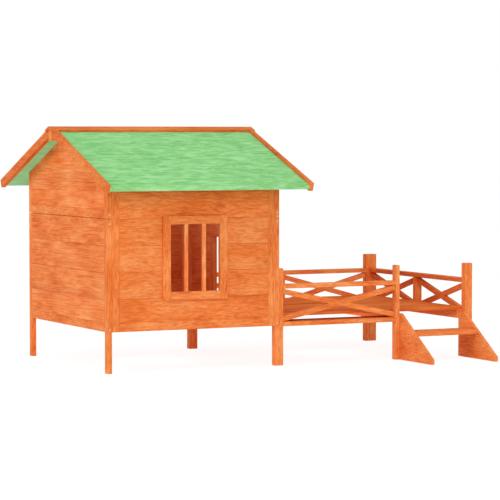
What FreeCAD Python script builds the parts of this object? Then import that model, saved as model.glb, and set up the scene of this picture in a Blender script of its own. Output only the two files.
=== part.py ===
import FreeCAD, Part
import math
import os

# Timber dog house on legs: a gabled sleeping cabin with a barred window and an open
# doorway, a felted roof with wide overhangs, and a fenced porch with a step beside it.
#
# House frame used while building: X runs along the ridge from the closed gable towards
# the porch, Y from the front wall to the back wall, Z up from the ground.  All sizes
# are millimetres.  The finished pieces are moved so that the origin lies on the ground
# under the centre of the whole product.

V = FreeCAD.Vector
UP = V(0, 0, 1)

# ---- timber stock -------------------------------------------------------------------
BATTEN_T = 20.0        # planed batten, thickness
BATTEN_W = 34.0        # planed batten, width
BOARD_T = 10.0         # wall and floor boards
RAIL_H = 38.0          # height of the wall rails
ARRIS = 1.5            # eased long edges of every batten
FIT = 0.3              # clearance where one piece is let into or under another
ROUNDING = 1e-6        # two plank edges nearer than this are one edge

# ---- tongue-and-groove wall planks --------------------------------------------------
PLANK_PITCH = 114.0    # cover height of one plank
PLANK_GAP = 0.6        # open line between two shoulders
TONGUE_T = 3.4
TONGUE_L = 5.0
V_JOINT = 1.6          # chamfer on the outer edges, which makes the V between planks

# ---- cabin --------------------------------------------------------------------------
HOUSE_W = 816.0        # along the ridge
HOUSE_D = 923.0        # front to back
GROUND_CLEAR = 176.0   # ground to the underside of the walls
MODULE_JOINT = 656.0   # level where the gable tops stand on the lower gable frames
MODULE_GAP = 2.0       # open joint between the two gable frames
FLOOR_BOARDS = 8
FLOOR_JOISTS = 3
BOARD_GAP = 3.0        # between neighbouring floor or deck boards

# ---- doorway in the porch gable -----------------------------------------------------
DOOR_W = 341.0         # clear width between the jambs

# ---- window in the front wall -------------------------------------------------------
WINDOW_X = 264.0       # left edge of the hole in the planks
WINDOW_W = 286.0       # width of that hole
WINDOW_LAP = 10.0      # how far the frame laps over the planks
WINDOW_FRAME_W = 36.0  # visible width of the frame members
WINDOW_PROUD = 10.0    # how far the frame stands out from the planks
WINDOW_ROWS = 3        # plank rows that the hole takes out
WINDOW_BARS = 2
WINDOW_BAR_W = 18.0
WINDOW_BAR_T = 12.0

# ---- roof ---------------------------------------------------------------------------
RIDGE_TOP = 1050.0     # peak of the ridge boards
ROOF_PITCH = 21.3      # degrees
EAVE_OVERHANG = 170.0  # beyond the front and back walls
LEFT_OVERHANG = 76.0   # beyond the closed gable, to the outside of the barge boards
RIGHT_OVERHANG = 82.0  # beyond the porch gable, likewise
RIDGE_BOARD_W = 44.0
RIDGE_BOARD_T = 10.0
RIDGE_BOARD_OVER = 9.0  # beyond the barge boards
FELT_T = 3.0
ROOF_BOARD_T = 15.0
BARGE_W = 36.0         # depth of a barge board, square to the slope
RIDGE_BEAM_W = 38.0
RIDGE_BEAM_H = 32.0

# ---- porch --------------------------------------------------------------------------
PORCH_L = 993.0        # from the cabin to the outside of the end fence
END_FENCE_T = 38.0     # thickness of the end fence's posts and rails
POST_TOP = 427.0
FENCE_TOP = 358.0      # top of the handrails
LOW_RAIL_TOP = 192.0
FRONT_RAIL_D = 118.0   # front to back size of the low front rail, a flat board
STEP_OPENING = 345.0   # between the two posts beside the step
DECK_TOP = 227.0
DECK_T = 13.0
DECK_BOARDS = 8
LEDGER_H = 40.0        # battens on edge under the deck
BRACE_W = 23.0
BRACE_T = 18.0

# ---- step ---------------------------------------------------------------------------
CHEEK_T = 15.0
CHEEK_REACH = 280.0    # in front of the porch posts
CHEEK_TOP = 208.0
CHEEK_NOSE = 22.0      # height of the upright nose
CHEEK_TOP_FRONT = 4.0  # where the sloping edge starts, in front of the posts
TREAD_TOP = 132.0
TREAD_D = 120.0

# ---- sizes that follow from those above ---------------------------------------------
RIDGE_Y = HOUSE_D / 2
ROOF_ANGLE = math.radians(ROOF_PITCH)
ROOF_RISE = math.tan(ROOF_ANGLE)
COS, SIN = math.cos(ROOF_ANGLE), math.sin(ROOF_ANGLE)
ROOF_RUN = RIDGE_Y + EAVE_OVERHANG
SLOPE_L = ROOF_RUN / COS
ROOF_DEPTH = RIDGE_BOARD_T + FELT_T + ROOF_BOARD_T
UNDERSIDE = RIDGE_TOP - ROOF_DEPTH / COS       # roof underside on the ridge line
FLOOR_TOP = GROUND_CLEAR + RAIL_H
BARGE_X0 = -LEFT_OVERHANG                      # outsides of the barge boards
BARGE_X1 = HOUSE_W + RIGHT_OVERHANG
SHEET_X0 = BARGE_X0 + BATTEN_T                 # roof sheet, between the barge boards
SHEET_X1 = BARGE_X1 - BATTEN_T
RIDGE_X0 = BARGE_X0 - RIDGE_BOARD_OVER
RIDGE_X1 = BARGE_X1 + RIDGE_BOARD_OVER
BEAM_BOTTOM = UNDERSIDE - RIDGE_BEAM_H
DOOR_Y0 = RIDGE_Y - DOOR_W / 2
DOOR_Y1 = RIDGE_Y + DOOR_W / 2
DOOR_TOP = MODULE_JOINT - PLANK_PITCH
WINDOW_Z1 = MODULE_JOINT
WINDOW_Z0 = WINDOW_Z1 - WINDOW_ROWS * PLANK_PITCH
PORCH_X1 = HOUSE_W + PORCH_L
END_X = PORCH_X1 - END_FENCE_T                 # inside face of the end fence
STEP_POST_X = END_X - STEP_OPENING - BATTEN_T
DECK_UNDER = DECK_TOP - DECK_T
TOP_RAIL_Z = FENCE_TOP - BATTEN_T              # undersides of the rails
LOW_RAIL_Z = LOW_RAIL_TOP - BATTEN_T

# The origin: on the ground, under the centre of the box round the whole product.
ORIGIN = V((RIDGE_X0 + PORCH_X1) / 2, (RIDGE_Y + ROOF_RUN - CHEEK_REACH) / 2, 0)


# ---- basic forms --------------------------------------------------------------------
def prism(points, direction):
    """A flat outline pushed along a direction."""
    outline = Part.makePolygon(points + points[:1])
    return Part.Face(outline).extrude(direction)


def board(x0, x1, y0, y1, z0, z1):
    """A square-edged board between two corners."""
    return Part.makeBox(x1 - x0, y1 - y0, z1 - z0, V(x0, y0, z0))


def eased_outline(a0, a1, b0, b1):
    """The eight corners of a rectangle whose corners are cut off by ARRIS."""
    e = ARRIS
    return [(a0 + e, b0), (a1 - e, b0), (a1, b0 + e), (a1, b1 - e),
            (a1 - e, b1), (a0 + e, b1), (a0, b1 - e), (a0, b0 + e)]


def batten_x(x0, x1, y0, y1, z0, z1):
    """An eased batten that runs along X."""
    points = [V(x0, y, z) for y, z in eased_outline(y0, y1, z0, z1)]
    return prism(points, V(x1 - x0, 0, 0))


def batten_y(x0, x1, y0, y1, z0, z1):
    """An eased batten that runs along Y."""
    points = [V(x, y0, z) for x, z in eased_outline(x0, x1, z0, z1)]
    return prism(points, V(0, y1 - y0, 0))


def batten_z(x0, x1, y0, y1, z0, z1):
    """An eased batten that stands upright."""
    points = [V(x, y, z0) for x, y in eased_outline(x0, x1, y0, y1)]
    return prism(points, V(0, 0, z1 - z0))


# ---- the four walls -----------------------------------------------------------------
# A wall maps (along, inward, up) to house coordinates, with its outer face at inward 0.
def front_wall(u, t, z):
    return V(u, t, z)


def back_wall(u, t, z):
    return V(u, HOUSE_D - t, z)


def left_gable(u, t, z):
    return V(t, u, z)


def right_gable(u, t, z):
    return V(HOUSE_W - t, u, z)


def plank_section(z0, z1, groove, tongue):
    """Outline of one plank as (inward, up) points, from shoulder to shoulder."""
    middle = BOARD_T / 2
    half = TONGUE_T / 2
    outline = [(0, z0 + V_JOINT), (0, z1 - V_JOINT), (V_JOINT, z1)]
    if tongue:
        outline += [(middle - half, z1), (middle - half, z1 + TONGUE_L),
                    (middle + half, z1 + TONGUE_L), (middle + half, z1)]
    outline += [(BOARD_T, z1), (BOARD_T, z0)]
    if groove:
        wide = half + FIT
        deep = z0 + TONGUE_L + PLANK_GAP
        outline += [(middle + wide, z0), (middle + wide, deep),
                    (middle - wide, deep), (middle - wide, z0)]
    outline.append((V_JOINT, z0))
    return outline


def planks(wall, u0, u1, z0, z1, seam):
    """Interlocking planks that fill a wall from z0 to z1, with one seam level given."""
    level = seam + math.floor((z0 - seam) / PLANK_PITCH) * PLANK_PITCH
    levels = [z0]
    while level < z1 - ROUNDING:
        if level > z0 + ROUNDING:
            levels.append(level)
        level += PLANK_PITCH
    levels.append(z1)
    rows = []
    for lower, upper in zip(levels[:-1], levels[1:]):
        is_last = upper == levels[-1]
        shoulder = upper if is_last else upper - PLANK_GAP
        section = plank_section(lower, shoulder, lower != levels[0], not is_last)
        points = [wall(u0, t, z) for t, z in section]
        rows.append(prism(points, wall(u1, 0, 0) - wall(u0, 0, 0)))
    return rows


# ---- the roof's planes --------------------------------------------------------------
def roof_point(x, side, along, depth):
    """A point given by its way down the slope and its depth under the top plane."""
    return V(x, RIDGE_Y + side * (along * COS - depth * SIN),
             RIDGE_TOP - along * SIN - depth * COS)


def plumb_point(x, side, run, depth):
    """A point on a plumb cut: its level run from the ridge and its depth in the roof."""
    return V(x, RIDGE_Y + side * run, RIDGE_TOP - run * ROOF_RISE - depth / COS)


def sloped_piece(x0, x1, side, run, along, depth0, depth1):
    """A layer of one roof slope, plumb at its upper end and square at its lower end."""
    points = [plumb_point(x0, side, run, depth0), roof_point(x0, side, along, depth0),
              roof_point(x0, side, along, depth1), plumb_point(x0, side, run, depth1)]
    return prism(points, V(x1 - x0, 0, 0))


def trim_under_roof(shape, depth=ROOF_DEPTH):
    """Bevel a piece to both slopes, under the layers above a depth."""
    drop = ROOF_RUN * ROOF_RISE
    peak = RIDGE_TOP - depth / COS - FIT
    points = [V(RIDGE_X0, RIDGE_Y - ROOF_RUN, peak - drop), V(RIDGE_X0, RIDGE_Y, peak),
              V(RIDGE_X0, RIDGE_Y + ROOF_RUN, peak - drop),
              V(RIDGE_X0, RIDGE_Y + ROOF_RUN, 0), V(RIDGE_X0, RIDGE_Y - ROOF_RUN, 0)]
    room = prism(points, V(RIDGE_X1 - RIDGE_X0, 0, 0))
    return shape.common(room)


def seat_ridge_beam(shape):
    """Cut the seat of the ridge beam into a gable piece."""
    half = RIDGE_BEAM_W / 2 + FIT
    seat = board(RIDGE_X0, RIDGE_X1, RIDGE_Y - half, RIDGE_Y + half, BEAM_BOTTOM, RIDGE_TOP)
    return shape.cut(seat)


# ---- cabin frame --------------------------------------------------------------------
def corner_place(on_right, at_back):
    """Footprint of the corner batten in a gable frame."""
    x0 = HOUSE_W - BATTEN_T if on_right else 0
    y0 = HOUSE_D - BATTEN_W if at_back else 0
    return x0, x0 + BATTEN_T, y0, y0 + BATTEN_W


def leg(on_right, at_back):
    return batten_z(*corner_place(on_right, at_back), 0, MODULE_JOINT)


def gable_posts(on_right):
    """The two short posts of a gable top, bevelled under the roof."""
    posts = []
    for at_back in (False, True):
        post = batten_z(*corner_place(on_right, at_back),
                        MODULE_JOINT + MODULE_GAP, UNDERSIDE)
        posts.append(trim_under_roof(post))
    return posts


def gable_rails(on_right):
    """Bottom rail, and the two rails that meet at the joint of the gable frames."""
    x0, x1, _, y0 = corner_place(on_right, False)
    y1 = HOUSE_D - BATTEN_W
    return [batten_y(x0, x1, y0, y1, z0, z0 + RAIL_H)
            for z0 in (GROUND_CLEAR, MODULE_JOINT - RAIL_H, MODULE_JOINT + MODULE_GAP)]


def gable_top_planks(wall):
    """Planks of a gable top, cut to the slopes and notched for the ridge beam."""
    base = MODULE_JOINT + MODULE_GAP + RAIL_H
    rows = planks(wall, BATTEN_W, HOUSE_D - BATTEN_W, base, UNDERSIDE, base)
    return [seat_ridge_beam(trim_under_roof(row)) for row in rows]


def lower_gable_planks(wall, u0, u1, z0, z1):
    return planks(wall, u0, u1, z0, z1, MODULE_JOINT)


def wall_battens(wall):
    """Upright end battens of a long wall, standing against the gable frames."""
    battens = []
    for u0 in (BATTEN_T, HOUSE_W - BATTEN_T - BATTEN_W):
        low = wall(u0, 0, 0)
        high = wall(u0 + BATTEN_W, BATTEN_T, 0)
        y0, y1 = min(low.y, high.y), max(low.y, high.y)
        post = batten_z(low.x, high.x, y0, y1, GROUND_CLEAR, UNDERSIDE)
        battens.append(trim_under_roof(post))
    return battens


def wall_bottom_rail(wall):
    low = wall(BATTEN_T + BATTEN_W, 0, 0)
    high = wall(HOUSE_W - BATTEN_T - BATTEN_W, BATTEN_T, 0)
    y0, y1 = min(low.y, high.y), max(low.y, high.y)
    return batten_x(low.x, high.x, y0, y1, GROUND_CLEAR, FLOOR_TOP)


def long_wall_planks(wall, u0, u1, z0, z1):
    rows = planks(wall, u0, u1, z0, z1, MODULE_JOINT)
    return [trim_under_roof(row) for row in rows]


def eave_height():
    """Roof underside over the inner face of the long walls' planks."""
    return UNDERSIDE - (RIDGE_Y - BOARD_T) * ROOF_RISE


# ---- floor --------------------------------------------------------------------------
def floor_boards():
    pitch = (HOUSE_D - 2 * BATTEN_T) / FLOOR_BOARDS
    boards = []
    for i in range(FLOOR_BOARDS):
        y0 = BATTEN_T + i * pitch
        boards.append(batten_x(BATTEN_T, HOUSE_W - BATTEN_T, y0, y0 + pitch - BOARD_GAP,
                               FLOOR_TOP - BOARD_T, FLOOR_TOP))
    return boards


def floor_joists():
    pitch = (HOUSE_W - 2 * BATTEN_T - BATTEN_W) / (FLOOR_JOISTS - 1)
    top = FLOOR_TOP - BOARD_T
    joists = []
    for i in range(FLOOR_JOISTS):
        x0 = BATTEN_T + i * pitch
        joists.append(batten_y(x0, x0 + BATTEN_W, BATTEN_T, HOUSE_D - BATTEN_T,
                               top - BATTEN_T, top))
    return joists


# ---- doorway ------------------------------------------------------------------------
def door_jambs():
    """Upright battens beside the doorway, from the bottom rail to the head plank."""
    return [batten_z(HOUSE_W - BATTEN_T, HOUSE_W, y0, y0 + BATTEN_W, FLOOR_TOP, DOOR_TOP)
            for y0 in (DOOR_Y0 - BATTEN_W, DOOR_Y1)]


# ---- window -------------------------------------------------------------------------
def window_stile(on_right):
    """Upright frame member: a lip over the planks and a body in the hole."""
    body_w = WINDOW_FRAME_W - WINDOW_LAP
    if on_right:
        body_x = WINDOW_X + WINDOW_W - body_w
        lip_x = body_x
    else:
        body_x = WINDOW_X
        lip_x = WINDOW_X - WINDOW_LAP
    lip = batten_z(lip_x, lip_x + WINDOW_FRAME_W, -WINDOW_PROUD, 0,
                   WINDOW_Z0 - WINDOW_LAP, WINDOW_Z1 + WINDOW_LAP)
    body = board(body_x, body_x + body_w, 0, BOARD_T, WINDOW_Z0, WINDOW_Z1)
    return lip.fuse(body)


def window_rail(at_top):
    """Level frame member between the stiles, rebated like them."""
    body_h = WINDOW_FRAME_W - WINDOW_LAP
    x0 = WINDOW_X + body_h
    x1 = WINDOW_X + WINDOW_W - body_h
    if at_top:
        body_z = WINDOW_Z1 - body_h
        lip_z = body_z
    else:
        body_z = WINDOW_Z0
        lip_z = WINDOW_Z0 - WINDOW_LAP
    lip = batten_x(x0, x1, -WINDOW_PROUD, 0, lip_z, lip_z + WINDOW_FRAME_W)
    body = board(x0, x1, 0, BOARD_T, body_z, body_z + body_h)
    return lip.fuse(body)


def window_bars():
    inset = WINDOW_FRAME_W - WINDOW_LAP
    clear = WINDOW_W - 2 * inset
    gap = (clear - WINDOW_BARS * WINDOW_BAR_W) / (WINDOW_BARS + 1)
    y0 = (BOARD_T - WINDOW_PROUD - WINDOW_BAR_T) / 2
    bars = []
    for i in range(WINDOW_BARS):
        x0 = WINDOW_X + inset + gap + i * (WINDOW_BAR_W + gap)
        bars.append(batten_z(x0, x0 + WINDOW_BAR_W, y0, y0 + WINDOW_BAR_T,
                             WINDOW_Z0 + inset, WINDOW_Z1 - inset))
    return bars


# ---- roof ---------------------------------------------------------------------------
def ridge_beam():
    """Beam under the ridge, and at each end a block between the barge boards' ends."""
    y0, y1 = RIDGE_Y - RIDGE_BEAM_W / 2, RIDGE_Y + RIDGE_BEAM_W / 2
    beam = batten_x(SHEET_X0, SHEET_X1, y0, y1, BEAM_BOTTOM, RIDGE_TOP)
    blocks = [board(x0, x0 + BATTEN_T, y0, y1, BEAM_BOTTOM, RIDGE_TOP)
              for x0 in (BARGE_X0, SHEET_X1)]
    return [trim_under_roof(beam)] + [trim_under_roof(block, RIDGE_BOARD_T)
                                      for block in blocks]


def ridge_board(side):
    """Weather board on the ridge, mitred to its neighbour on the peak line."""
    return sloped_piece(RIDGE_X0, RIDGE_X1, side, 0, RIDGE_BOARD_W, 0, RIDGE_BOARD_T)


def roof_board(side):
    """The boarded slope, which the felt laps round at the eave."""
    top = RIDGE_BOARD_T + FELT_T
    return sloped_piece(SHEET_X0, SHEET_X1, side, 0, SLOPE_L - FELT_T, top,
                        top + ROOF_BOARD_T)


def roof_felt(side):
    """Mineral felt on one slope, turned down over the eave edge."""
    top = RIDGE_BOARD_T
    under = top + FELT_T
    bottom = under + ROOF_BOARD_T
    points = [plumb_point(SHEET_X0, side, 0, top),
              roof_point(SHEET_X0, side, SLOPE_L, top),
              roof_point(SHEET_X0, side, SLOPE_L, bottom),
              roof_point(SHEET_X0, side, SLOPE_L - FELT_T, bottom),
              roof_point(SHEET_X0, side, SLOPE_L - FELT_T, under),
              plumb_point(SHEET_X0, side, 0, under)]
    return prism(points, V(SHEET_X1 - SHEET_X0, 0, 0))


def barge_board(on_right, side):
    """Batten along a gable edge of the roof, standing proud of the felt.

    Its upper end is let in under the ridge board and stands against the ridge block.
    """
    x0 = SHEET_X1 if on_right else BARGE_X0
    run = RIDGE_BEAM_W / 2 + FIT
    lap = RIDGE_BOARD_W + FIT
    seat = RIDGE_BOARD_T + FIT
    points = [plumb_point(x0, side, run, seat), roof_point(x0, side, lap, seat),
              roof_point(x0, side, lap, 0), roof_point(x0, side, SLOPE_L, 0),
              roof_point(x0, side, SLOPE_L, BARGE_W), plumb_point(x0, side, run, BARGE_W)]
    return prism(points, V(BATTEN_T, 0, 0))


# ---- porch fences -------------------------------------------------------------------
def brace_pair(u0, u1, z0, z1):
    """Two diagonals of a bay in the XZ plane, centred on Y 0 and halved at the crossing.

    Their ends are plumb against the posts, and their outer edges meet the rails there.
    """
    length = math.hypot(u1 - u0, z1 - z0)
    tilt = math.degrees(math.acos(BRACE_W / length) - math.atan2(u1 - u0, z1 - z0))
    middle = V((u0 + u1) / 2, 0, (z0 + z1) / 2)
    bay = board(u0, u1, -BRACE_T / 2, BRACE_T / 2, z0, z1)
    long_brace = (-length, length, -BRACE_T / 2, BRACE_T / 2, -BRACE_W / 2, BRACE_W / 2)

    def laid(shape, angle):
        shape = shape.copy()
        shape.rotate(V(0, 0, 0), V(0, 1, 0), angle)
        shape.translate(middle)
        return shape

    notch_w = BRACE_W / 2 + FIT
    front_half = board(-length, length, -BRACE_T, FIT / 2, -notch_w, notch_w)
    back_half = board(-length, length, -FIT / 2, BRACE_T, -notch_w, notch_w)
    rising = laid(board(*long_brace), -tilt).common(bay).cut(laid(front_half, tilt))
    falling = laid(board(*long_brace), tilt).common(bay).cut(laid(back_half, -tilt))
    return [rising, falling]


def along_x(shapes, y):
    """Stand pieces of a fence at a depth y, with the fence running along X."""
    for shape in shapes:
        shape.translate(V(0, y, 0))
    return shapes


def along_y(shapes, x):
    """Turn pieces of a fence so that it runs along Y, at a place x."""
    for shape in shapes:
        shape.rotate(V(0, 0, 0), UP, 90)
        shape.translate(V(x, 0, 0))
    return shapes


FRONT_Y = BATTEN_W / 2
BACK_Y = HOUSE_D - BATTEN_W / 2
BACK_BAY = (END_X - BATTEN_T - HOUSE_W - 2 * BATTEN_T) / 2
BACK_MIDDLE_X = HOUSE_W + BATTEN_T + BACK_BAY
END_MIDDLE_Y = RIDGE_Y - BATTEN_T / 2


def upright(x0, y0, width_x, width_y, z0, z1):
    return batten_z(x0, x0 + width_x, y0, y0 + width_y, z0, z1)


def front_post(x0):
    return upright(x0, 0, BATTEN_T, BATTEN_W, 0, POST_TOP)


def back_post(x0):
    return upright(x0, HOUSE_D - BATTEN_W, BATTEN_T, BATTEN_W, 0, POST_TOP)


def corner_post(at_back):
    y0 = HOUSE_D - BATTEN_W if at_back else 0
    return upright(END_X, y0, END_FENCE_T, BATTEN_W, 0, POST_TOP)


def back_middle_post():
    return upright(BACK_MIDDLE_X, HOUSE_D - BATTEN_W, BATTEN_T, BATTEN_W,
                   LOW_RAIL_TOP, TOP_RAIL_Z)


def end_middle_post():
    return upright(END_X, END_MIDDLE_Y, END_FENCE_T, BATTEN_T, LOW_RAIL_TOP, TOP_RAIL_Z)


def front_rails():
    x0 = HOUSE_W + BATTEN_T
    return [batten_x(x0, STEP_POST_X, 0, FRONT_RAIL_D, LOW_RAIL_Z, LOW_RAIL_TOP),
            batten_x(x0, STEP_POST_X, 0, BATTEN_W, TOP_RAIL_Z, FENCE_TOP)]


def back_rails():
    return [batten_x(HOUSE_W + BATTEN_T, END_X - BATTEN_T, HOUSE_D - BATTEN_W, HOUSE_D,
                     z0, z0 + BATTEN_T) for z0 in (LOW_RAIL_Z, TOP_RAIL_Z)]


def end_rails():
    return [batten_y(END_X, PORCH_X1, BATTEN_W, HOUSE_D - BATTEN_W, z0, z0 + BATTEN_T)
            for z0 in (LOW_RAIL_Z, TOP_RAIL_Z)]


def bay_braces(bays):
    """Crossed braces for the bays of one fence, given by their ends."""
    return [brace for u0, u1 in bays
            for brace in brace_pair(u0, u1, LOW_RAIL_TOP, TOP_RAIL_Z)]


def front_braces():
    return along_x(bay_braces([(HOUSE_W + BATTEN_T, STEP_POST_X)]), FRONT_Y)


def back_braces():
    bays = [(HOUSE_W + BATTEN_T, BACK_MIDDLE_X),
            (BACK_MIDDLE_X + BATTEN_T, END_X - BATTEN_T)]
    return along_x(bay_braces(bays), BACK_Y)


def end_braces():
    bays = [(BATTEN_W, END_MIDDLE_Y), (END_MIDDLE_Y + BATTEN_T, HOUSE_D - BATTEN_W)]
    return along_y(bay_braces(bays), END_X + END_FENCE_T / 2)


# ---- porch deck ---------------------------------------------------------------------
def deck_ledgers():
    """Battens on edge under the deck: at the cabin, at the step post and at the end."""
    return [batten_y(x0, x0 + BATTEN_T, BATTEN_W, HOUSE_D - BATTEN_W,
                     DECK_UNDER - LEDGER_H, DECK_UNDER)
            for x0 in (HOUSE_W, STEP_POST_X, END_X - BATTEN_T)]


def deck_boards():
    pitch = (HOUSE_D - 2 * BATTEN_W + BOARD_GAP) / DECK_BOARDS
    boards = []
    for i in range(DECK_BOARDS):
        y0 = BATTEN_W + i * pitch
        boards.append(batten_x(HOUSE_W, END_X, y0, y0 + pitch - BOARD_GAP,
                               DECK_UNDER, DECK_TOP))
    return boards


# ---- step ---------------------------------------------------------------------------
def step_cheek(x0):
    """Side board of the step: upright at the back, sloping to a short nose."""
    outline = [(BATTEN_W, 0), (BATTEN_W, CHEEK_TOP), (-CHEEK_TOP_FRONT, CHEEK_TOP),
               (-CHEEK_REACH, CHEEK_NOSE), (-CHEEK_REACH, 0)]
    return prism([V(x0, y, z) for y, z in outline], V(CHEEK_T, 0, 0))


def step_tread():
    x0 = STEP_POST_X + BATTEN_T + CHEEK_T
    return batten_x(x0, END_X - CHEEK_T, -TREAD_D, 0, TREAD_TOP - BATTEN_T, TREAD_TOP)


# ---- all the pieces -----------------------------------------------------------------
def cabin_nodes():
    inner_y0, inner_y1 = BATTEN_W, HOUSE_D - BATTEN_W
    inner_x0, inner_x1 = BATTEN_T + BATTEN_W, HOUSE_W - BATTEN_T - BATTEN_W
    rail_under = MODULE_JOINT - RAIL_H
    eave = eave_height()
    beside_window = [plank for u0, u1 in ((inner_x0, WINDOW_X),
                                          (WINDOW_X + WINDOW_W, inner_x1))
                     for plank in long_wall_planks(front_wall, u0, u1, WINDOW_Z0,
                                                   WINDOW_Z1 - PLANK_GAP)]
    return {
        "leg_front_left": [leg(False, False)],
        "leg_front_right": [leg(True, False)],
        "leg_rear_left": [leg(False, True)],
        "leg_rear_right": [leg(True, True)],
        "left_gable_posts": gable_posts(False),
        "right_gable_posts": gable_posts(True),
        "left_gable_rails": gable_rails(False),
        "right_gable_rails": gable_rails(True),
        "left_gable_planks": lower_gable_planks(left_gable, inner_y0, inner_y1,
                                                FLOOR_TOP, rail_under),
        "left_gable_top_planks": gable_top_planks(left_gable),
        "door_planks_front": lower_gable_planks(
            right_gable, inner_y0, DOOR_Y0 - BATTEN_W, FLOOR_TOP, DOOR_TOP - PLANK_GAP),
        "door_planks_rear": lower_gable_planks(
            right_gable, DOOR_Y1 + BATTEN_W, inner_y1, FLOOR_TOP, DOOR_TOP - PLANK_GAP),
        "door_head_plank": lower_gable_planks(right_gable, inner_y0, inner_y1,
                                              DOOR_TOP, rail_under),
        "door_jambs": door_jambs(),
        "right_gable_top_planks": gable_top_planks(right_gable),
        "front_wall_battens": wall_battens(front_wall),
        "front_wall_bottom_rail": [wall_bottom_rail(front_wall)],
        "front_planks_below_window": long_wall_planks(
            front_wall, inner_x0, inner_x1, FLOOR_TOP, WINDOW_Z0 - PLANK_GAP),
        "front_planks_beside_window": beside_window,
        "front_planks_above_window": long_wall_planks(
            front_wall, inner_x0, inner_x1, WINDOW_Z1, eave),
        "window_stile_left": [window_stile(False)],
        "window_stile_right": [window_stile(True)],
        "window_head": [window_rail(True)],
        "window_sill": [window_rail(False)],
        "window_bars": window_bars(),
        "back_wall_battens": wall_battens(back_wall),
        "back_wall_bottom_rail": [wall_bottom_rail(back_wall)],
        "back_wall_planks": long_wall_planks(back_wall, inner_x0, inner_x1,
                                             FLOOR_TOP, eave),
        "floor_joists": floor_joists(),
        "floor_boards": floor_boards(),
    }


def roof_nodes():
    nodes = {"ridge_beam": ridge_beam()}
    for side_name, side in (("front", -1), ("rear", 1)):
        nodes["ridge_board_" + side_name] = [ridge_board(side)]
        nodes["roof_boards_" + side_name] = [roof_board(side)]
        nodes["roof_felt_" + side_name] = [roof_felt(side)]
        nodes["barge_board_left_" + side_name] = [barge_board(False, side)]
        nodes["barge_board_right_" + side_name] = [barge_board(True, side)]
    return nodes


def porch_nodes():
    return {
        "porch_post_house_front": [front_post(HOUSE_W)],
        "porch_post_step": [front_post(STEP_POST_X)],
        "porch_post_corner_front": [corner_post(False)],
        "porch_post_corner_rear": [corner_post(True)],
        "porch_post_house_rear": [back_post(HOUSE_W)],
        "porch_post_back_end": [back_post(END_X - BATTEN_T)],
        "porch_post_back_middle": [back_middle_post()],
        "porch_post_end_middle": [end_middle_post()],
        "porch_front_rails": front_rails(),
        "porch_back_rails": back_rails(),
        "porch_end_rails": end_rails(),
        "porch_front_braces": front_braces(),
        "porch_back_braces": back_braces(),
        "porch_end_braces": end_braces(),
        "deck_ledgers": deck_ledgers(),
        "deck_boards": deck_boards(),
        "step_cheek_left": [step_cheek(STEP_POST_X + BATTEN_T)],
        "step_cheek_right": [step_cheek(END_X - CHEEK_T)],
        "step_tread": [step_tread()],
    }


def save(name, shapes):
    """Write one node: its pieces stay separate solids."""
    solids = [solid for shape in shapes for solid in shape.Solids]
    node = solids[0] if len(solids) == 1 else Part.makeCompound(solids)
    node.translate(-ORIGIN)
    node.exportStep("parts/" + name + ".step")
    return len(solids)


os.makedirs("parts", exist_ok=True)
all_nodes = {**cabin_nodes(), **roof_nodes(), **porch_nodes()}
solid_count = sum(save(name, shapes) for name, shapes in all_nodes.items())
print("nodes", len(all_nodes), "solids", solid_count)
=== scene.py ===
import math
import re

import bmesh
import bpy
from mathutils import Matrix, Vector


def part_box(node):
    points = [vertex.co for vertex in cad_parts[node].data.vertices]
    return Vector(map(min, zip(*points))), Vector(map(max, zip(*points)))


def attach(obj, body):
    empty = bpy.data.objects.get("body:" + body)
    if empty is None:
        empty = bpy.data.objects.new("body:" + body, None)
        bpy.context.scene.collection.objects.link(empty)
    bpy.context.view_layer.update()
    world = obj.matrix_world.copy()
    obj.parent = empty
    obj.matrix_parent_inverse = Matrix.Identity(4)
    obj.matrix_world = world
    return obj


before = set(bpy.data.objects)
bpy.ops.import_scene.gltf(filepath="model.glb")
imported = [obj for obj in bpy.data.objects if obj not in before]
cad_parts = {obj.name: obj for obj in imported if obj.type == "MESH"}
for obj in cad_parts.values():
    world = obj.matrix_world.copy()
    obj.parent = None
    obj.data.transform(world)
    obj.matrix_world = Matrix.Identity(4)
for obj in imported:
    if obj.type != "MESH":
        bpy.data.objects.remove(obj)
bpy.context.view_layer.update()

MM = 0.001

# Real sizes that the timber patterns are scaled from, in millimetres.
RING_SPACING = 30.16     # between the broad growth-ring lines on a flat-sawn face
RING_STRETCH = 0.12      # rings run about eight times longer along the grain than across
SWAY_LENGTH = 333.3      # slow bends that the rings follow
SWAY_WIDTH = 111.1
SWAY_DEPTH = 0.09        # how far a bend pushes the rings aside, in metres
FIBRE_LENGTH = 71.43     # fine lines that planing leaves along the grain
FIBRE_WIDTH = 1.6
DASH_LENGTH = 32.0       # short dark pores and rays that the stain brings out
LONG_DASH = 4 * DASH_LENGTH
DASH_WIDTH = 5.0
STREAK_LENGTH = 384.6    # bands where the stain has gone in deeper
STREAK_WIDTH = 16.0
CLOUD_LENGTH = 220.0     # pale and dark patches of stain across a board
CLOUD_WIDTH = 110.0
KNOT_SPACING = 260.0     # average distance between knots along a board
KNOT_ROWS = 117.0        # and across boards
KNOT_SIZE = 14.0
KNOT_HALO = 2.6          # where the darkness round a knot ends, in knot sizes
TONE_PATCH = 666.7       # slow change of brightness over a batten
GRAIN_RELIEF = 0.6       # depth of the raised fibres

# How strongly each mark shows in the stain, from 0 to 1.
CLOUD_SHARE = 0.65       # the rest of the soaking in is in streaks
RING_IN_DARK = 0.42      # rings show more where a cloud is dark
RING_IN_PALE = 0.10
DASH_STRENGTH = 0.50
FIBRE_STRENGTH = 0.35
KNOT_STRENGTH = 0.35
KNOT_COLOUR = "#B24A1E"
DARKEST_BOARD = 0.93     # how much one board differs from the next in brightness
PALEST_BOARD = 1.05
BOARD_JUMP = 3.0         # metres between the stretches of wood that two boards show

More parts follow.
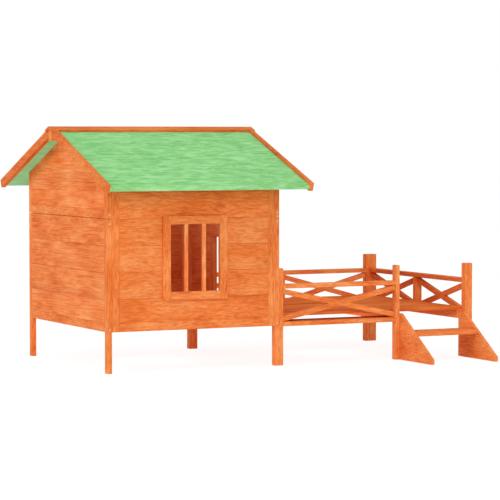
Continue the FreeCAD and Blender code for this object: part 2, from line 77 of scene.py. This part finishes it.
# Relief and sheen of the timber.
RELIEF_STRENGTH = 0.35
FIBRE_RAISED = 0.5       # fibres stand up and ring lines lie lower
RING_RAISED = -0.35
PINE_ROUGHNESS = 0.55
SMOOTHEST_FIBRE = -0.07  # added to the roughness
ROUGHEST_FIBRE = 0.12
PINE_GLOSS = 0.06        # specular level; a thin stain leaves little sheen
PINE_IOR = 1.48

# Mineral felt, in millimetres.
GRANULE = 1.8            # stone grit, drawn coarser than the real 1 mm
GRANULE_RELIEF = 0.8
DRIFT_LENGTH = 71.43     # rolled-on bands of lighter and darker grit
DRIFT_WIDTH = 20.0
FELT_CLOUD = 250.0       # broad paler and darker patches
FELT_CLOUD_STRENGTH = 0.6
SPECK_STRENGTH = 0.4     # how far one granule's tone differs from the next

ZINC_MOTTLE = 1.111      # crystals of the zinc plating, in millimetres

# Where the wall planks lie, in the row frame, in millimetres.
PLANK_PITCH = 114.0
PLANK_SEAM = 656.0


# ---- helpers ------------------------------------------------------------------------
def linear(hex_colour):
    """An sRGB hex colour as linear RGBA."""
    parts = [int(hex_colour[i:i + 2], 16) / 255 for i in (1, 3, 5)]
    flat = [c / 12.92 if c <= 0.04045 else ((c + 0.055) / 1.055) ** 2.4 for c in parts]
    return (*flat, 1.0)


def new_object(name, bm):
    """Turn a bmesh into an object of the scene."""
    mesh = bpy.data.meshes.new(name)
    bm.to_mesh(mesh)
    bm.free()
    made = bpy.data.objects.new(name, mesh)
    bpy.context.scene.collection.objects.link(made)
    return made


def new_material(name):
    material = bpy.data.materials.new(name)
    material.use_nodes = True
    material.node_tree.nodes.clear()
    return material


def add(tree, kind, settings=None, **links):
    """Add a node, set its properties and sockets, and link its inputs.

    settings maps a property name, or an input socket's index or name, to a value.
    links maps an input socket's name, with _ for a space, or in0, in1 for its index,
    to an output socket.
    """
    node = tree.nodes.new(kind)
    for key, value in (settings or {}).items():
        if isinstance(key, str) and hasattr(node, key):
            setattr(node, key, value)
        else:
            node.inputs[key].default_value = value
    for key, socket in links.items():
        place = int(key[2:]) if key[:2] == "in" and key[2:].isdigit() else key.replace("_", " ")
        tree.links.new(socket, node.inputs[place])
    return node


def feed(tree, node, inputs):
    """Give input sockets, by index, a plain value or a link from an output socket."""
    for index, value in inputs:
        if isinstance(value, (int, float, tuple)):
            node.inputs[index].default_value = value
        else:
            tree.links.new(value, node.inputs[index])


def math_node(tree, operation, first, second=0.0):
    """A sum on one or two values, each a socket or a number."""
    node = add(tree, "ShaderNodeMath", {"operation": operation})
    feed(tree, node, ((0, first), (1, second)))
    return node.outputs[0]


def mix(tree, fac, first, second, blend="MIX"):
    """Mix two colours, each a socket or a linear colour."""
    node = add(tree, "ShaderNodeMix", {"data_type": "RGBA", "blend_type": blend})
    feed(tree, node, ((0, fac), (6, first), (7, second)))
    return node.outputs[2]


def ramp(tree, fac, stops):
    """A colour ramp between sRGB hex colours at given places."""
    node = add(tree, "ShaderNodeValToRGB", Fac=fac)
    elements = node.color_ramp.elements
    while len(elements) < len(stops):
        elements.new(0.5)
    for element, (place, colour) in zip(elements, stops):
        element.position = place
        element.color = linear(colour)
    return node.outputs["Color"]


def spread(tree, value, low, high, **settings):
    """Map a value from 0..1, or from the settings' range, to low..high."""
    return add(tree, "ShaderNodeMapRange", {"To Min": low, "To Max": high, **settings},
               Value=value).outputs[0]


def object_place(tree):
    return add(tree, "ShaderNodeTexCoord").outputs["Object"]


def stretched(tree, along, length, width):
    """Coordinates in which length by width millimetres of the surface is one unit."""
    across = 1 / (width * MM)
    return add(tree, "ShaderNodeMapping", {"Scale": (1 / (length * MM), across, across)},
               Vector=along).outputs[0]


def drawn_noise(tree, along, length, width, **settings):
    """Noise whose patches are about length by width millimetres."""
    return add(tree, "ShaderNodeTexNoise", {"Scale": 1.0, **settings},
               Vector=stretched(tree, along, length, width)).outputs["Fac"]


def finish_material(tree, settings, **links):
    surface = add(tree, "ShaderNodeBsdfPrincipled", settings, **links)
    add(tree, "ShaderNodeOutputMaterial", Surface=surface.outputs[0])


# ---- timber -------------------------------------------------------------------------
GRAIN_TURN = {"x": (0, 0, 0), "y": (0, 0, math.radians(-90)), "z": (0, math.radians(90), 0)}

# A diagonal wave texture of scale 1 repeats after this length across the bands.
WAVE_PERIOD = 2 * math.pi / 10


def own_stretch_of_wood(tree, place, boards):
    """Shifted coordinates and a tone from 0 to 1 that are each board's own."""
    axis, start, pitch = boards
    parts = add(tree, "ShaderNodeSeparateXYZ", Vector=place)
    shifted = math_node(tree, "SUBTRACT", parts.outputs["XYZ".index(axis)], start * MM)
    row = math_node(tree, "FLOOR", math_node(tree, "DIVIDE", shifted, pitch * MM))
    own = add(tree, "ShaderNodeTexWhiteNoise", {"noise_dimensions": "1D"}, W=row)
    jump = add(tree, "ShaderNodeVectorMath", {"operation": "SCALE", "Scale": BOARD_JUMP},
               Vector=own.outputs["Color"])
    moved = add(tree, "ShaderNodeVectorMath", {"operation": "ADD"}, in0=place,
                in1=jump.outputs[0])
    return moved.outputs[0], own.outputs["Value"]


def growth_rings(tree, along):
    """Long bands that sway along the grain, from 0 up to 1 at the dark late wood."""
    sway = drawn_noise(tree, along, SWAY_LENGTH, SWAY_WIDTH, Detail=2.0)
    aside = add(tree, "ShaderNodeVectorMath", {"operation": "SCALE", "Scale": SWAY_DEPTH},
                in0=sway)
    bent = add(tree, "ShaderNodeVectorMath", {"operation": "ADD"}, in0=along,
               in1=aside.outputs[0])
    place = add(tree, "ShaderNodeMapping", {"Scale": (RING_STRETCH, 1.0, 1.0)},
                Vector=bent.outputs[0])
    return add(tree, "ShaderNodeTexWave",
               {"wave_type": "BANDS", "bands_direction": "DIAGONAL", "wave_profile": "SAW",
                "Scale": WAVE_PERIOD / (RING_SPACING * MM), "Distortion": 2.6,
                "Detail": 2.0, "Detail Scale": 1.6},
               Vector=place.outputs[0]).outputs["Fac"]


def knot_marks(tree, along):
    """1 at the heart of a knot, falling to 0 at the edge of its halo."""
    cells = add(tree, "ShaderNodeTexVoronoi", {"Scale": 1.0, "Randomness": 1.0},
                Vector=stretched(tree, along, KNOT_SPACING, KNOT_ROWS))
    heart = KNOT_SIZE / KNOT_SPACING
    return spread(tree, cells.outputs["Distance"], 1.0, 0.0,
                  **{"From Min": heart, "From Max": KNOT_HALO * heart})


def stain_colour(tree, along, tones, rings, dash, fibre):
    """The stain's colour: soaked in by clouds and streaks, then darkened by the marks."""
    base, deep, pale = tones
    cloud = drawn_noise(tree, along, CLOUD_LENGTH, CLOUD_WIDTH, Detail=3.0, Roughness=0.55)
    streak = drawn_noise(tree, along, STREAK_LENGTH, STREAK_WIDTH, Detail=3.0, Roughness=0.55)
    soak = math_node(tree, "ADD", math_node(tree, "MULTIPLY", cloud, CLOUD_SHARE),
                     math_node(tree, "MULTIPLY", streak, 1 - CLOUD_SHARE))
    stain = ramp(tree, soak, [(0.34, deep), (0.50, base), (0.66, pale)])
    ring_strength = spread(tree, cloud, RING_IN_DARK, RING_IN_PALE,
                           **{"From Min": 0.35, "From Max": 0.65})
    ring_line = ramp(tree, rings, [(0.0, "#FFFFFF"), (0.60, "#FAF0EA"), (1.0, "#D9A78F")])
    dash_line = ramp(tree, dash, [(0.38, "#D6A88E"), (0.58, "#FFFFFF")])
    fibre_line = ramp(tree, fibre, [(0.30, "#E2C4B5"), (0.62, "#FFFFFF")])
    for strength, line in ((ring_strength, ring_line), (DASH_STRENGTH, dash_line),
                           (FIBRE_STRENGTH, fibre_line)):
        stain = mix(tree, strength, stain, line, "MULTIPLY")
    knot = math_node(tree, "MULTIPLY", knot_marks(tree, along), KNOT_STRENGTH)
    return mix(tree, knot, stain, linear(KNOT_COLOUR))


def stained_pine(name, grain, tones, boards=None, roughness=PINE_ROUGHNESS, gloss=PINE_GLOSS,
                 dash_length=DASH_LENGTH):
    """Planed pine in an orange-brown translucent stain.

    The stain goes deeper into the soft spring wood, so growth rings show as darker
    lines, and it pools in bands and round the knots.  grain is the axis the boards run
    along.  tones are the stain's middle, deep and pale colours.  boards is (axis, first
    edge, pitch) where boards lie side by side, so that each takes the stain a little
    differently.  gloss is the specular level and dash_length the length of the short
    dark pores in millimetres.
    """
    material = new_material(name)
    tree = material.node_tree
    place = object_place(tree)
    if boards:
        place, board_tone = own_stretch_of_wood(tree, place, boards)
    else:
        board_tone = drawn_noise(tree, place, TONE_PATCH, TONE_PATCH, Detail=0.0)
    along = add(tree, "ShaderNodeMapping", {"Rotation": GRAIN_TURN[grain]},
                Vector=place).outputs[0]
    rings = growth_rings(tree, along)
    dash = drawn_noise(tree, along, dash_length, DASH_WIDTH, Detail=2.0, Roughness=0.6)
    fibre = drawn_noise(tree, along, FIBRE_LENGTH, FIBRE_WIDTH, Detail=2.0, Roughness=0.6)
    tone = add(tree, "ShaderNodeHueSaturation",
               Color=stain_colour(tree, along, tones, rings, dash, fibre),
               Value=spread(tree, board_tone, DARKEST_BOARD, PALEST_BOARD))
    relief = math_node(tree, "ADD", math_node(tree, "MULTIPLY", fibre, FIBRE_RAISED),
                       math_node(tree, "MULTIPLY", rings, RING_RAISED))
    bump = add(tree, "ShaderNodeBump",
               {"Strength": RELIEF_STRENGTH, "Distance": GRAIN_RELIEF * MM}, Height=relief)
    rough = spread(tree, fibre, roughness + SMOOTHEST_FIBRE, roughness + ROUGHEST_FIBRE)
    finish_material(tree, {"IOR": PINE_IOR, "Specular IOR Level": gloss},
                    Base_Color=tone.outputs[0], Roughness=rough, Normal=bump.outputs[0])
    return material


# ---- felt and steel -----------------------------------------------------------------
def mineral_felt(name, base, dark, pale):
    """Bitumen felt faced with coloured stone grit, rolled on in bands along the ridge.

    The grit makes the surface quite matt, finely speckled and rough to the touch, with
    lighter and darker drifts that wander along the sheet.
    """
    material = new_material(name)
    tree = material.node_tree
    place = object_place(tree)
    drift = drawn_noise(tree, place, DRIFT_LENGTH, DRIFT_WIDTH, Detail=4.0, Roughness=0.65,
                        Distortion=0.5)
    cloud = drawn_noise(tree, place, FELT_CLOUD, FELT_CLOUD, Detail=3.0)
    grit = add(tree, "ShaderNodeTexVoronoi", {"Scale": 1 / (GRANULE * MM)}, Vector=place)
    colour = ramp(tree, drift, [(0.30, dark), (0.50, base), (0.68, pale)])
    cloud_tone = ramp(tree, cloud, [(0.30, "#E6EFE4"), (0.70, "#FFFFFF")])
    colour = mix(tree, FELT_CLOUD_STRENGTH, colour, cloud_tone, "MULTIPLY")
    speck = ramp(tree, grit.outputs["Color"], [(0.0, "#C9DCC5"), (1.0, "#FFFFFF")])
    colour = mix(tree, SPECK_STRENGTH, colour, speck, "MULTIPLY")
    bump = add(tree, "ShaderNodeBump", {"Strength": 0.5, "Distance": GRANULE_RELIEF * MM},
               Height=grit.outputs["Distance"])
    finish_material(tree, {"Roughness": 0.95, "Specular IOR Level": 0.15},
                    Base_Color=colour, Normal=bump.outputs[0])
    return material


def zinc_screw(name):
    """Bright zinc-plated steel: pale, slightly mottled, with a soft metal shine."""
    material = new_material(name)
    tree = material.node_tree
    mottle = drawn_noise(tree, object_place(tree), ZINC_MOTTLE, ZINC_MOTTLE, Detail=2.0)
    finish_material(tree, {"Metallic": 0.85},
                    Base_Color=ramp(tree, mottle, [(0.35, "#CDB9A4"), (0.65, "#EADBCB")]),
                    Roughness=spread(tree, mottle, 0.28, 0.45))
    return material


# ---- what each CAD node is made of --------------------------------------------------
# Middle, deep and pale colour of the stain.
WARM = ("#F3904C", "#E77835", "#FAA462")     # most of the timber
LIT_GABLE_TONES = ("#F99350", "#EB7A34", "#FEAA6A")     # boards of the gables, a paler copy of the timber: painted light for their brightly lit faces
SHADED_BOARD_TONES = ("#F28A46", "#E67531", "#F89E5C")      # boards of the long walls and the floor, a darker, redder copy of the timber: painted shade for faces that get less light than the gables
SHADED_FENCE_TONES = ("#E87C3C", "#DA6A2A", "#F08E4E")     # the fence at the porch's end, a darker copy of the timber: painted shade on its inner side
DULL = ("#F0843E", "#E2722E", "#F89856")     # the deck, darker and duller than most of the timber
TRIM = ("#E6823D", "#DB6B2B", "#ED944F")     # barge and ridge boards, a deeper copy of the timber; on the ridge it is painted shade that holds down the shine on its top
LIT_BAR_TONES = ("#FFA061", "#F88544", "#FFB77D")     # window bars, a brighter copy of the timber: painted light that lifts them out of the shade in the window opening

FELT = ("#96D88E", "#7CC272", "#B4E9AC")
# A paler copy of the felt's green for the roof boards' underside: painted light in the shade
# under the overhang.
LIT_UNDERSIDE_TONES = ("#AAF2B0", "#9CE8A4", "#BAFABE")

# The first pattern that fits the start of a node's name gives its material.
MATERIAL_OF_NODE = (
    (r"roof_felt", "felt"),
    (r"roof_boards", "underside"),
    (r"floor_boards", "floor"),
    (r"deck_boards", "deck"),
    (r"(left|right)_gable_(top_)?planks|door_(planks|head)", "gable_planks"),
    (r"(front|back_wall)_planks", "wall_planks"),
    (r"porch_end_(rails|braces)", "end_fence"),
    (r"ridge_board", "ridge"),
    (r"barge_board", "barge"),
    (r"window_bars", "bars"),
    (r"deck_ledgers|floor_joists|step_cheek|(left|right)_gable_rails", "batten_y"),
    (r"leg_|porch_post|window_stile|door_jambs|\w+_(posts|battens)$", "batten_z"),
    (r"", "batten_x"),
)


def rows_of(node, axis, count):
    """Board layout of a node whose boards lie side by side."""
    low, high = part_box(node)
    index = "XYZ".index(axis)
    return axis, low[index] / MM, (high[index] - low[index]) / MM / count


def make_materials():
    wall_rows = ("Z", PLANK_SEAM, PLANK_PITCH)
    return {
        "gable_planks": stained_pine("pine_gable_planks", "y", LIT_GABLE_TONES, boards=wall_rows,
                                     dash_length=LONG_DASH),
        "wall_planks": stained_pine("pine_wall_planks", "x", SHADED_BOARD_TONES, boards=wall_rows),
        "floor": stained_pine("pine_floor_boards", "x", SHADED_BOARD_TONES,
                              boards=rows_of("floor_boards", "Y", 8)),
        "deck": stained_pine("pine_deck_boards", "x", DULL,
                             boards=rows_of("deck_boards", "Y", 8),
                             roughness=0.85, gloss=0.02, dash_length=LONG_DASH),
        "batten_x": stained_pine("pine_batten_along_x", "x", WARM),
        "batten_y": stained_pine("pine_batten_along_y", "y", WARM),
        "batten_z": stained_pine("pine_batten_upright", "z", WARM),
        "end_fence": stained_pine("pine_end_fence", "y", SHADED_FENCE_TONES),
        "ridge": stained_pine("pine_ridge_board", "x", TRIM),
        "barge": stained_pine("pine_barge_board", "y", TRIM),
        "bars": stained_pine("pine_window_bar", "z", LIT_BAR_TONES),
        "felt": mineral_felt("felt_green_grit", *FELT),
        "underside": mineral_felt("roof_underside_green_painted_light", *LIT_UNDERSIDE_TONES),
    }


def finish_nodes():
    materials = make_materials()
    for name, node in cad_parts.items():
        key = next(key for pattern, key in MATERIAL_OF_NODE if re.match(pattern, name))
        slots = node.data.materials
        slots.clear()
        slots.append(materials[key])


# ---- screws -------------------------------------------------------------------------
SCREW_HEAD = 6.5         # diameter of a countersunk head
SCREW_TURNS = 24         # corners round the head
# Share of the head's radius, and height over the timber in millimetres.
SCREW_RINGS = ((1.0, -0.4), (1.0, 0.125), (0.86, 0.5), (0.55, 0.575))
RECESS_WAIST = 0.14      # of the radius, between the arms of the cross
RECESS_ARM = 0.36        # what an arm adds to that
RECESS_SHARPNESS = 6
RECESS_DEPTH = 0.9
RECESS_TAPER = 0.6
SCREW_HEIGHTS = (186.0, 636.0, 674.0)
LEGS = ("leg_front_left", "leg_front_right", "leg_rear_left", "leg_rear_right")


def ring_of_points(bm, radii, height):
    """Points round the Z axis, one at each radius in turn."""
    angles = [2 * math.pi * i / len(radii) for i in range(len(radii))]
    return [bm.verts.new((radius * math.cos(angle), radius * math.sin(angle), height))
            for radius, angle in zip(radii, angles)]


def join_rings(bm, low, high):
    """A band of four-sided faces between two rings."""
    for i in range(len(low)):
        j = (i + 1) % len(low)
        bm.faces.new((low[i], low[j], high[j], high[i]))


def recess_radii(radius):
    """Outline of a cross recess, as a radius at each corner of the head."""
    arms = [abs(math.cos(4 * math.pi * i / SCREW_TURNS)) ** RECESS_SHARPNESS
            for i in range(SCREW_TURNS)]
    return [radius * (RECESS_WAIST + RECESS_ARM * arm) for arm in arms]


def screw_head(name, at, normal, material):
    """A countersunk head with a cross recess, standing just proud of the timber."""
    bm = bmesh.new()
    radius = SCREW_HEAD / 2 * MM
    rings = [ring_of_points(bm, [radius * share] * SCREW_TURNS, height * MM)
             for share, height in SCREW_RINGS]
    cross = recess_radii(radius)
    rings.append(ring_of_points(bm, cross, SCREW_RINGS[-1][1] * MM))
    rings.append(ring_of_points(bm, [RECESS_TAPER * r for r in cross], -RECESS_DEPTH * MM))
    for low, high in zip(rings[:-1], rings[1:]):
        join_rings(bm, low, high)
    bm.faces.new(rings[-1])
    bm.faces.new(rings[0][::-1])
    turn = Vector((0, 0, 1)).rotation_difference(Vector(normal)).to_matrix().to_4x4()
    bm.transform(Matrix.Translation(Vector(at)) @ turn)
    head = new_object(name, bm)
    head.data.materials.append(material)
    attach(head, "root")


def place_leg_screws():
    """Screws through the legs and gable posts into the rails behind them."""
    zinc = zinc_screw("zinc_plated_screw")
    for leg in LEGS:
        low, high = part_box(leg)
        outward, y = (-1, low.y) if "front" in leg else (1, high.y)
        x = (low.x + high.x) / 2
        for index, height in enumerate(SCREW_HEIGHTS):
            screw_head(leg.replace("leg", "screw") + "_" + str(index), (x, y, height * MM),
                       (0, outward, 0), zinc)


# ---- floor, lights and camera -------------------------------------------------------
FLOOR_HALF = 30.0        # metres from the middle to an edge
FLOOR_GLOW = 0.9         # white that the camera sees whatever the light
FLOOR_SHADE = 0.16       # and the share of light added to it, which keeps the shadow
ROOM_LIGHT = 0.75

# Name, place, point aimed at, diameter in metres, power in watts.
SOFT_LIGHTS = (
    ("key_left", (-7.5, -2.5, 5.0), (0.0, 0.0, 0.4), 2.5, 190.0),
    ("fill_front", (-1.5, -8.5, 3.0), (0.2, 0.0, 0.4), 4.0, 184.0),
)
# Name, node in whose middle it stands, height in metres, power in watts, colour.
GLOWS = (
    ("cabin_glow", "floor_boards", 0.75, 2.6, (0.95, 0.95, 1.5)),
    ("glow_under_cabin", "floor_joists", 0.10, 2.4, (1.0, 1.0, 1.0)),
    ("glow_under_deck", "deck_boards", 0.10, 1.9, (1.0, 1.0, 1.0)),
)
GLOW_RADIUS = 0.2

CAMERA_PLACE = (-4.6264, -9.3371, 1.0105)
CAMERA_YAW = 0.46107     # turned from +Y towards +X, radians
CAMERA_PITCH = 0.04997   # looking down, radians
CAMERA_SENSOR = 36.0     # mm
CAMERA_LENS = 165.04     # mm
CAMERA_REACH = 100.0     # metres


def paper_floor():
    """A pale seamless floor that keeps a faint contact shadow."""
    bm = bmesh.new()
    corners = ((-1, -1), (1, -1), (1, 1), (-1, 1))
    bm.faces.new([bm.verts.new((FLOOR_HALF * x, FLOOR_HALF * y, 0.0)) for x, y in corners])
    floor = new_object("studio_floor", bm)
    material = new_material("white_paper_floor")
    tree = material.node_tree
    paper = add(tree, "ShaderNodeBsdfDiffuse", {"Color": linear("#FFFFFF")})
    shade = add(tree, "ShaderNodeBsdfDiffuse", {"Color": (*[FLOOR_SHADE] * 3, 1.0)})
    glow = add(tree, "ShaderNodeEmission",
               {"Color": linear("#FFFFFF"), "Strength": FLOOR_GLOW})
    seen = add(tree, "ShaderNodeAddShader", in0=shade.outputs[0], in1=glow.outputs[0])
    path = add(tree, "ShaderNodeLightPath")
    both = add(tree, "ShaderNodeMixShader", in0=path.outputs["Is Camera Ray"],
               in1=paper.outputs[0], in2=seen.outputs[0])
    add(tree, "ShaderNodeOutputMaterial", Surface=both.outputs[0])
    floor.data.materials.append(material)


def white_surroundings():
    """Even white light from all round, seen by the camera and in shine as plain white."""
    world = bpy.data.worlds.new("studio")
    bpy.context.scene.world = world
    world.use_nodes = True
    tree = world.node_tree
    tree.nodes.clear()
    path = add(tree, "ShaderNodeLightPath")
    light, seen = (add(tree, "ShaderNodeBackground",
                       {"Color": linear("#FFFFFF"), "Strength": strength})
                   for strength in (ROOM_LIGHT, 1.0))
    either = math_node(tree, "MAXIMUM", path.outputs["Is Camera Ray"],
                       path.outputs["Is Glossy Ray"])
    both = add(tree, "ShaderNodeMixShader", in0=either, in1=light.outputs[0],
               in2=seen.outputs[0])
    add(tree, "ShaderNodeOutputWorld", Surface=both.outputs[0])


def new_lamp(name, kind, place, power):
    lamp = bpy.data.objects.new(name, bpy.data.lights.new(name, kind))
    lamp.location = place
    lamp.data.energy = power
    bpy.context.scene.collection.objects.link(lamp)
    return lamp


def soft_light(name, place, aim, size, power):
    lamp = new_lamp(name, "AREA", place, power)
    lamp.data.shape = "DISK"
    lamp.data.size = size
    lamp.rotation_euler = (Vector(aim) - Vector(place)).to_track_quat("-Z", "Y").to_euler()


def bounce_glow(name, node, height, power, colour):
    """Light that a white room bounces into a shaded space, over or under a node."""
    low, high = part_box(node)
    place = ((low.x + high.x) / 2, (low.y + high.y) / 2, height)
    lamp = new_lamp(name, "POINT", place, power)
    lamp.data.shadow_soft_size = GLOW_RADIUS
    lamp.data.color = colour


def photograph_camera():
    """The camera as fitted to the straight edges of the photograph."""
    data = bpy.data.cameras.new("camera")
    data.sensor_width = CAMERA_SENSOR
    data.lens = CAMERA_LENS
    data.clip_end = CAMERA_REACH
    camera = bpy.data.objects.new("camera", data)
    camera.location = CAMERA_PLACE
    camera.rotation_euler = (math.pi / 2 - CAMERA_PITCH, 0.0, -CAMERA_YAW)
    bpy.context.scene.collection.objects.link(camera)
    bpy.context.scene.camera = camera


finish_nodes()
place_leg_screws()
paper_floor()
white_surroundings()
for light in SOFT_LIGHTS:
    soft_light(*light)
for glow in GLOWS:
    bounce_glow(*glow)
photograph_camera()
bpy.context.scene.view_settings.view_transform = "Standard"
